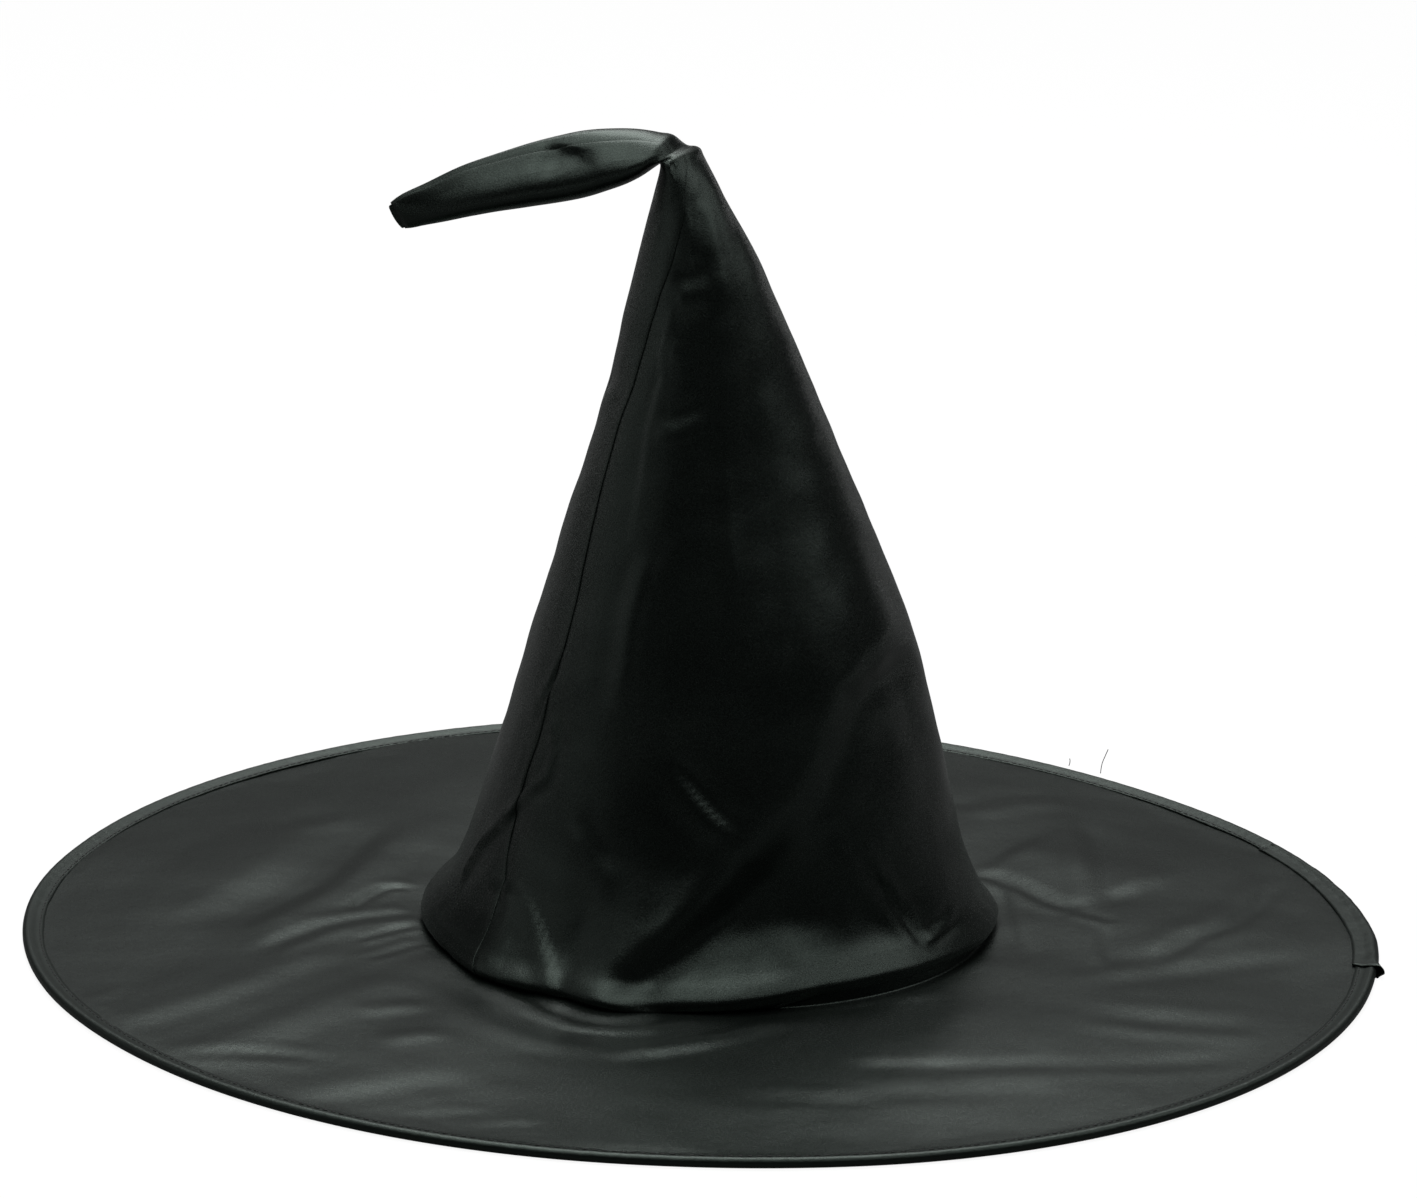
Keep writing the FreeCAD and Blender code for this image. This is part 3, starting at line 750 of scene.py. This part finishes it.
brim = {
    "steps": 360,
    "thickness": 0.4,
    "level": 118.0,
    "hem": 214.0,
    "rise": 2.6,
    "edge": 221.5,
    "openingX": 3.5,
    "swell": 1.7,
    "foldDepth": 0.9,
    # folds in the brim: path of (x, y)
    "folds": [
        # the broad slack fold at the left: a hump beside the foot, a valley, and a long slope beyond
        {
            "path": [(-160, -36), (-150, -13), (-140, 5), (-131, 20), (-124, 42), (-117, 70), (-110, 95)],
            "cut": [(-26, 0), (-13, 1.3), (-1, -1.0), (3, -1.0), (24, 1.5), (60, 0)],
            "fade": (0.2, 0.25),
        },
        # wrinkles that run into the foot at the left
        {
            "path": [(-148, -54), (-136, -36), (-126, -23), (-116, -15), (-106, -9), (-96, -3)],
            "cut": [(-15, 0), (-9, 0.6), (-1.5, -0.6), (4.5, 0.45), (12, 0)],
            "fade": (0.3, 0.08),
        },
        {
            "path": [(-117, -39), (-105, -28), (-95, -18.5)],
            "cut": [(-8, 0), (-4.5, 0.35), (-0.8, -0.4), (3, 0.3), (8, 0)],
            "fade": (0.35, 0.1),
        },
        {
            "path": [(-113, -58), (-102, -47), (-91, -34)],
            "cut": [(-8, 0), (-4.5, 0.25), (-0.8, -0.3), (3, 0.25), (8, 0)],
            "fade": (0.4, 0.12),
        },
        {
            "path": [(-117, -8), (-114.5, 2), (-111, 10), (-107, 17), (-102, 20.5), (-97, 17)],
            "cut": [(-8, 0), (-4, 0.3), (-0.8, -0.6), (3, 0.4), (9, 0)],
            "fade": (0.2, 0.12),
        },
        # front left: slanting swells and small creases
        {
            "path": [
                (-192, -126), (-177, -114), (-165, -104), (-150, -91), (-137, -76), (-125, -61),
                (-112, -47),
            ],
            "cut": [(-46, 0), (-30, 0.6), (-15, -0.35), (-6, -0.5), (7, 0.6), (20, 0.3), (40, 0)],
            "fade": (0.2, 0.15),
        },
        {
            "path": [(-174, -143), (-161, -139), (-146, -136.5), (-130, -138), (-110, -145)],
            "cut": [(-16, 0), (-9, 0.35), (-2, -0.3), (2.5, 0.25), (10, 0)],
            "fade": (0.3, 0.3),
        },
        {
            "path": [(-112, -110), (-97, -104), (-82, -100)],
            "cut": [(-31, 0), (-24, 0.6), (-14, -0.2), (-4, -0.4), (4, 0.5), (13, 0)],
            "fade": (0.35, 0.35),
        },
        {
            "path": [(-134, -184), (-115, -174), (-85, -161), (-64, -155)],
            "cut": [(-15, 0), (-6, -0.35), (6, 0.35), (22, 0)],
            "fade": (0.3, 0.35),
        },
        {
            "path": [(-94, -191), (-77, -186), (-60, -184)],
            "cut": [(-6, 0), (-2.5, -0.18), (2.5, 0.18), (8, 0)],
            "fade": (0.35, 0.35),
        },
        {
            "path": [(-76, -200), (-60, -196), (-42, -195)],
            "cut": [(-6, 0), (-2.5, -0.15), (2.5, 0.15), (8, 0)],
            "fade": (0.35, 0.35),
        },
        {
            "path": [(-196, -95), (-188, -88), (-182, -78)],
            "cut": [(-6, 0), (-1.5, -0.3), (1.2, 0.3), (5, 0)],
            "fade": (0.4, 0.5),
        },
        {
            "path": [(-120, 182), (-115, 173), (-108, 170)],
            "cut": [(-4, 0), (0, -0.4), (3, 0.2), (6, 0)],
            "fade": (0.25, 0.5),
        },
        {
            "path": [(-152, 74), (-137, 86), (-122, 104)],
            "cut": [(-16, 0), (-6, 0.4), (6, -0.4), (16, 0)],
            "fade": (0.4, 0.4),
        },
        # right: the hard edge of a dent beside the foot, and the troughs that run down from it
        {
            "path": [(90, 52), (100, 46), (108, 36), (115, 26), (122, 18), (129, 11)],
            "cut": [(-14, 0), (-6, 0.6), (-0.5, -0.9), (9, 0.6), (30, 1.7), (66, 0)],
            "fade": (0.15, 0.2),
        },
        {
            "path": [(133, 132), (133, 90), (133, 50), (134, 14)],
            "cut": [(-14, 0), (-5, 0.8), (5, -0.8), (16, 0)],
            "fade": (0.3, 0.15),
        },
        {
            "path": [(103, 44), (104, 18), (105, -8), (107, -34)],
            "cut": [(-7, 0), (-2.5, -0.5), (2.5, 0.6), (12, 0)],
            "fade": (0.2, 0.3),
        },
        {
            "path": [(124, 12), (131, 5), (137, -2)],
            "cut": [(-7, 0), (-3, 0.5), (3, -0.5), (8, 0)],
            "fade": (0.3, 0.3),
        },
        {
            "path": [(132, 0), (132, -20), (134, -46)],
            "cut": [(-9, 0), (-3, 0.5), (3, -0.5), (9, 0)],
            "fade": (0.3, 0.3),
        },
        {
            "path": [(200, 64), (190, 41), (185, 26), (175, 6), (162, -9), (152, -26), (146, -38)],
            "cut": [(-15, 0), (-4, 0.7), (3, -0.5), (9, 0.4), (20, 0)],
            "fade": (0.25, 0.2),
        },
        {
            "path": [(202, -14), (185, -24), (158, -40), (130, -56), (118, -63)],
            "cut": [(-15, 0), (-5, 0.35), (5, -0.35), (15, 0)],
            "fade": (0.2, 0.25),
        },
        {
            "path": [(118, -82), (135, -84), (165, -86), (184, -83)],
            "cut": [(-24, 0), (-16, 0.35), (-6, -0.35), (6, 0.3), (16, 0)],
            "fade": (0.3, 0.3),
        },
        {
            "path": [(66, -138), (85, -134), (112, -130), (137, -126), (160, -118), (180, -108)],
            "cut": [(-20, 0), (-12, 0.2), (-4, -0.2), (5, 0.2), (17, 0)],
            "fade": (0.3, 0.25),
        },
        {
            "path": [(36, -167), (60, -160), (90, -154), (122, -147)],
            "cut": [(-15, 0), (-6, -0.2), (6, 0.2), (17, 0)],
            "fade": (0.35, 0.3),
        },
        {
            "path": [(4, -171), (38, -169), (66, -168)],
            "cut": [(-12, 0), (-5, -0.18), (5, 0.18), (12, 0)],
            "fade": (0.4, 0.4),
        },
        {
            "path": [(34, -110), (62, -107), (92, -103)],
            "cut": [(-36, 0), (-26, 0.8), (24, -0.8), (34, 0)],
            "fade": (0.4, 0.4),
        },
        {
            "path": [(86, 115), (97, 123), (110, 134), (132, 149)],
            "cut": [(-18, 0), (-6, 0.9), (6, -0.8), (20, 0)],
            "fade": (0.25, 0.3),
        },
        # rolls pushed up round the crown's foot
        {
            "path": [
                (-72, -66), (-64, -84), (-54, -100), (-43, -111), (-34, -115.5), (-25, -117),
                (-15, -114.5), (-6, -108), (4, -100),
            ],
            "cut": [(-30, 0), (-18, 0.6), (-5.5, -0.5), (0, 0.7), (8, -0.6), (13.5, 0.3), (20, 0)],
            "fade": (0.2, 0.2),
        },
        {
            "path": [(-28, -148), (-17, -141), (-5, -134), (4, -128.5), (12, -122), (20, -114), (32, -102)],
            "cut": [(-11, 0), (-4, -0.6), (4, 0.9), (13, -0.5), (22, 0)],
            "fade": (0.25, 0.2),
        },
    ],
}

hoopShape = [
    # angle, how far the bent hoop stands off a true circle
    (0, 0.5), (10, -0.7), (20, -1.8), (30, -3.3), (41, -5.0), (50, -5.1), (60, -4.1), (72, -2.4),
    (90, -0.6), (108, 0.4), (122, -1.0), (133, -2.3), (150, -3.0), (162, -2.5), (175, -0.8),
    (190, 0.2), (202, 0.3), (215, -0.6), (230, -1.4), (245, -2.6), (258, -3.8), (268, -4.4),
    (277, -3.9), (288, -2.4), (300, -1.2), (315, -0.4), (340, -0.2), (352, 0.0), (360, 0.5),
]


def bendToHoop(bm):
    # the wire isn't a true circle, and the cloth goes with it
    points = np.array([v.co for v in bm.verts]) / mm
    r = np.hypot(points[:, 0], points[:, 1])
    spin = np.degrees(np.arctan2(points[:, 1], points[:, 0])) % 360
    shift = throughRows(hoopShape, spin)[:, 0] * ease((r - 125) / 90)
    for vert, grow in zip(bm.verts, 1 + shift / r):
        vert.co.x *= grow
        vert.co.y *= grow


def brimHeight(radius):
    # a slope down to the hem, with the slack cloth standing up a little between crown and hem
    slope = brim["rise"] * (1 - ease((radius - brim["level"]) / (brim["hem"] - brim["level"])))
    return slope + brim["swell"] * np.sin(np.pi * np.clip((radius - 96) / (brim["hem"] + 2 - 96), 0, 1))


def brimWaves(points):
    x, y = points[:, 0], points[:, 1]
    r = np.hypot(x, y)
    held = ease((brim["edge"] + 1 - r) / 9.0) * ease((np.hypot(x - brim["openingX"], y) - 91.5) / 6.0)
    spin = np.arctan2(y, x)
    waves = brim["foldDepth"] * foldHeights(brim["folds"], x, y, 1.0)
    waves += 0.35 * np.sin(7 * spin + 0.4) * ease((r - 120) / 60) + 0.22 * np.sin(15 * spin + 2.0)
    flat = np.stack([x, y, x * 0], axis=1)
    waves += 0.55 * rumple(flat, 46.0, 1.7) + 0.18 * rumple(flat, 15.0, 4.2)
    puckers = 0.10 * rumple(flat, 3.6, 8.8) * ease((r - 208) / 8)
    return np.maximum((waves + puckers) * held, -0.3 - brimHeight(r))


def settle(bm):
    # round the off-centre opening, over the folds and out to the bent hoop
    points = np.array([v.co for v in bm.verts]) / mm
    r = np.hypot(points[:, 0], points[:, 1])
    points[:, 0] += brim["openingX"] * (1 - ease((r - 95) / 110))
    points[:, 2] += brimWaves(points)
    for vert, place in zip(bm.verts, points):
        vert.co = place * mm
    bendToHoop(bm)


def brimPly(name, lowZ, turnUp, upward, rings):
    # a ply with its inner edge turned up inside the head opening
    inner = [(turnUp, lowZ + brim["rise"] + h) for h in (6.4, 4.2, 2.0, 0.9)]
    line = inner + [(r, lowZ + float(brimHeight(r))) for r in rings]
    bm = ringFromLine(line, brim["steps"], False)
    faceTowards(bm, (0, 0, 1 if upward else -1))
    settle(bm)
    piece = meshObject(name, bm)
    piece.data.materials.append(brimSatin)
    addThickness(piece, brim["thickness"], 1)
    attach(piece, "hat")
    return piece


def ringRadii(first, last, count):
    return [first + (last - first) * i / count for i in range(count + 1)]


topRings = ringRadii(91.0, 206.0, 66) + ringRadii(207.5, 221.4, 10)
underRings = ringRadii(90.6, 206.0, 40) + ringRadii(208.5, 221.4, 6)
brimTop = brimPly("BrimTop", 1.6, 90.8, True, topRings)
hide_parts("brim_top_cloth")
brimUnder = brimPly("BrimUnder", 0.85, 90.35, False, underRings)
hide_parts("brim_under_cloth")


def stiffenerRing():
    radii = ringRadii(91.6, 221.0, 40)
    top = [(r, 1.45 + float(brimHeight(r))) for r in radii]
    low = [(r, 0.98 + float(brimHeight(r))) for r in reversed(radii)]
    bm = ringFromLine(top + low, 240, True)
    settle(bm)
    return bm


interlining = meshObject("BrimStiffener", stiffenerRing())
interlining.data.materials.append(stiffener)
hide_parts("brim_interlining")
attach(interlining, "hat")
print("brim laid")

# wired hem: binding folded round the hoop, stitched, with its end lapped and its corner sticking out

hem = {
    "wireRadius": 223.25,
    "wireHeight": 1.75,
    "wire": 0.9,
    "casing": 1.75,
    "fold": 0.4,
    "tail": 218.1,
    "neck": 220.1,
    "top": 2.42,
    "steps": 480,
    "stitchRadius": 219.3,
    "stitchPitch": 3.0,
    "stitchLength": 2.2,
    "lapStart": -8.0,
    "lapSweep": 34.0,
    "cornerOut": 2.4,
}


def bindingLine(tail, extra, casing):
    # round the wire from the top tail to the under tail, then back inside by the cloth's thickness
    wireR, wireZ = hem["wireRadius"], hem["wireHeight"]

    def arc(radius, low, high, count):
        angles = [math.radians(low + (high - low) * i / count) for i in range(count + 1)]
        return [(wireR + radius * math.cos(b), wireZ + radius * math.sin(b)) for b in angles]

    top = hem["top"] + extra
    outside = [
        (tail, top),
        (tail + 1.2, top + 0.12),
        (hem["neck"], top + 0.1),
        (hem["neck"] + 1.1, top + 0.35),
    ]
    outside += arc(casing + extra, 105, -90, 12)
    outside += [(hem["neck"], 0.0), (tail + 1.0, 0.0), (tail, 0.0)]
    wall = hem["fold"]
    inside = [(tail, wall), (hem["neck"], wall)]
    inside += arc(casing + extra - wall, -90, 100, 10)
    inside += [(hem["neck"] + 0.9, top - wall + 0.1), (hem["neck"], top - wall), (tail, top - wall)]
    return outside + inside


def puckerHem(bm, amount):
    for vert in bm.verts:
        r, spin = math.hypot(vert.co.x, vert.co.y), math.atan2(vert.co.y, vert.co.x)
        if vert.co.z < 1.2 * mm:
            continue
        near = math.exp(-(((r / mm - hem["stitchRadius"]) / 1.3) ** 2))
        ripple = 0.5 * math.sin(spin * 190) + noise.noise(Vector((spin * 60, r / mm * 0.2, 3.0)))
        vert.co.z += (amount * ripple * (0.4 + 0.6 * near) - 0.22 * near) * mm
        if r / mm < hem["tail"] + 0.6:
            sway = 0.5 * noise.noise(Vector((spin * 9, 5.0, 1.0)))
            sway += 0.18 * noise.noise(Vector((spin * 50, 2.0, 1.0)))
            vert.co.x += sway * mm * math.cos(spin)
            vert.co.y += sway * mm * math.sin(spin)


hemBm = ringFromLine(bindingLine(hem["tail"], 0.0, hem["casing"]), hem["steps"], True)
puckerHem(hemBm, 0.13)
bendToHoop(hemBm)
binding = meshObject("EdgeBinding", hemBm)
binding.data.materials.append(bindingSatin)
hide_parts("edge_binding")
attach(binding, "hat")


def lapPiece():
    # the strip's end covers its start: a little wider, cut on the slant, one corner standing out
    bm = bmesh.new()
    line = bindingLine(hem["tail"] - 1.4, 0.45, hem["casing"])
    verts = [bm.verts.new((r * mm, 0, z * mm)) for r, z in line]
    face = bm.faces.new(verts)
    start, sweep = math.radians(hem["lapStart"]), math.radians(hem["lapSweep"])
    bmesh.ops.rotate(bm, cent=(0, 0, 0), matrix=Matrix.Rotation(start, 3, "Z"), verts=bm.verts)
    bmesh.ops.spin(bm, geom=[face], axis=(0, 0, 1), cent=(0, 0, 0), angle=sweep, steps=56)
    bmesh.ops.remove_doubles(bm, verts=bm.verts, dist=1e-7)
    bmesh.ops.recalc_face_normals(bm, faces=bm.faces)
    for vert in bm.verts:
        r, spin = math.hypot(vert.co.x, vert.co.y) / mm, math.atan2(vert.co.y, vert.co.x)
        along = (spin - start) / sweep
        outward = (r - hem["tail"]) / 7.0
        slant = math.radians(1.1) * (1 - outward) * max(0.0, 1 - along * 8)
        swell = 0.0
        if r > 222:
            swell = hem["cornerOut"] * max(0.0, 1 - along * 14) ** 1.5 * (1 if vert.co.z > 1.0 * mm else 0.4)
        sink = 0.45 * max(0.0, (along - 0.35) / 0.65)
        flat = Vector((math.cos(spin + slant), math.sin(spin + slant), 0))
        height = vert.co.z / mm
        if height > 1.2:
            height += 0.25 * noise.noise(Vector((spin * 45, r * 0.3, 9.0))) - sink
            height += 0.5 * max(0.0, 1 - along * 10) * max(0.0, outward)
        pull = sink * 0.6 if r > 222 else -sink * 1.6
        vert.co = flat * (r - pull + swell) * mm + Vector((0, 0, height * mm))
    bendToHoop(bm)
    return bm


lap = meshObject("BindingLap", lapPiece())
lap.data.materials.append(bindingSatin)
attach(lap, "hat")


def stitchRun():
    # one thread bar per stitch, pulled down into the binding
    bm = bmesh.new()
    count = round(2 * math.pi * hem["stitchRadius"] / hem["stitchPitch"])
    bmesh.ops.create_uvsphere(bm, u_segments=6, v_segments=4, radius=0.5 * mm)
    bmesh.ops.scale(bm, vec=(0.5, hem["stitchLength"], 0.4), verts=bm.verts)
    bmesh.ops.translate(bm, vec=(hem["stitchRadius"] * mm, 0, (hem["top"] - 0.02) * mm), verts=bm.verts)
    turn = 2 * math.pi * (count - 1) / count
    bmesh.ops.spin(
        bm, geom=bm.faces, axis=(0, 0, 1), cent=(0, 0, 0), angle=turn, steps=count - 1, use_duplicate=True
    )
    bendToHoop(bm)
    return bm


stitches = meshObject("HemStitches", stitchRun())
stitches.data.materials.append(threadBlack)
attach(stitches, "hat")


def hoopWire():
    bm = bmesh.new()
    middle = Matrix.Translation((hem["wireRadius"] * mm, 0, hem["wireHeight"] * mm))
    upright = middle @ Matrix.Rotation(math.radians(90), 4, "X")
    bmesh.ops.create_circle(bm, segments=10, radius=hem["wire"] * mm, matrix=upright)
    gap = math.degrees(1.0 / hem["wireRadius"])
    start = Matrix.Rotation(math.radians(hem["lapStart"] + gap / 2), 3, "Z")
    bmesh.ops.rotate(bm, cent=(0, 0, 0), matrix=start, verts=bm.verts)
    bmesh.ops.contextual_create(bm, geom=bm.edges)
    sweep = math.radians(360 - gap)
    bmesh.ops.spin(bm, geom=bm.faces, axis=(0, 0, 1), cent=(0, 0, 0), angle=sweep, steps=240)
    bmesh.ops.recalc_face_normals(bm, faces=bm.faces)
    bendToHoop(bm)
    return bm


wire = meshObject("HoopWire", hoopWire())
wire.data.materials.append(springSteel)
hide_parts("brim_wire")
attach(wire, "hat")

looseThreads = {
    "radius": 0.14,
    # path of (x, y, z)
    "paths": [
        [(131.0, 182.0, 2.6), (131.6, 182.6, 4.0), (131.2, 182.4, 5.2)],
        [(142.0, 174.0, 2.6), (142.2, 175.0, 5.5), (143.4, 175.4, 8.6), (144.4, 175.0, 11.4)],
    ],
}


def threadEnds():
    curve = bpy.data.curves.new("ends", "CURVE")
    curve.dimensions, curve.bevel_depth, curve.bevel_resolution = "3D", looseThreads["radius"] * mm, 2
    curve.use_fill_caps = True
    for path in looseThreads["paths"]:
        spline = curve.splines.new("NURBS")
        spline.points.add(len(path) - 1)
        for point, place in zip(spline.points, path):
            point.co = [c * mm for c in place] + [1]
        spline.order_u, spline.use_endpoint_u = 3, True
    carrier = bpy.data.objects.new("ends", curve)
    mesh = bpy.data.meshes.new_from_object(carrier)
    mesh.name = "ThreadEnds"
    bpy.data.objects.remove(carrier)
    bpy.data.curves.remove(curve)
    piece = bpy.data.objects.new("ThreadEnds", mesh)
    bpy.context.scene.collection.objects.link(piece)
    return piece


ends = threadEnds()
ends.data.materials.clear()
ends.data.materials.append(threadBlack)
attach(ends, "hat")
print("hem bound and stitched")

# head band inside the opening

band = {"inner": 89.5, "thickness": 0.6, "low": 3.05, "high": 12.4, "steps": 240}


def headBand():
    inner, outer = band["inner"], band["inner"] + band["thickness"]
    low, high = band["low"], band["high"]
    line = [
        (inner + 0.1, low),
        (inner - 0.02, low + 0.5),
        (inner - 0.02, low + 1.6),
        (inner + 0.12, low + 2.0),
        (inner - 0.02, low + 2.4),
        (inner - 0.02, high - 1.4),
        (inner + 0.1, high - 0.3),
        (inner + 0.3, high),
        (outer, high - 0.4),
        (outer, low + 0.2),
    ]
    bm = ringFromLine(line, band["steps"], True, brim["openingX"])
    for vert in bm.verts:
        spin = math.atan2(vert.co.y, vert.co.x - brim["openingX"] * mm)
        lift = (vert.co.z / mm - band["low"]) / (band["high"] - band["low"])
        vert.co.z += 0.25 * mm * lift * noise.noise(Vector((spin * 11, 2.0, 0.0)))
    return bm


headTape = meshObject("HeadBand", headBand())
headTape.data.materials.append(bandTape)
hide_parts("head_band")
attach(headTape, "hat")
print("head band sewn in")

# the ferrule on the hoop stays as built


def dressNode(node, material):
    piece = bpy.data.objects[node] if node in bpy.data.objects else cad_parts[node]
    piece.data.materials.clear()
    piece.data.materials.append(material)


dressNode("wire_ferrule", ferruleMetal)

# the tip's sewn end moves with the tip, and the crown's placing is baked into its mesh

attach(sewnEnd, "tip")
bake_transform(crownCloth)

print("hat finished")
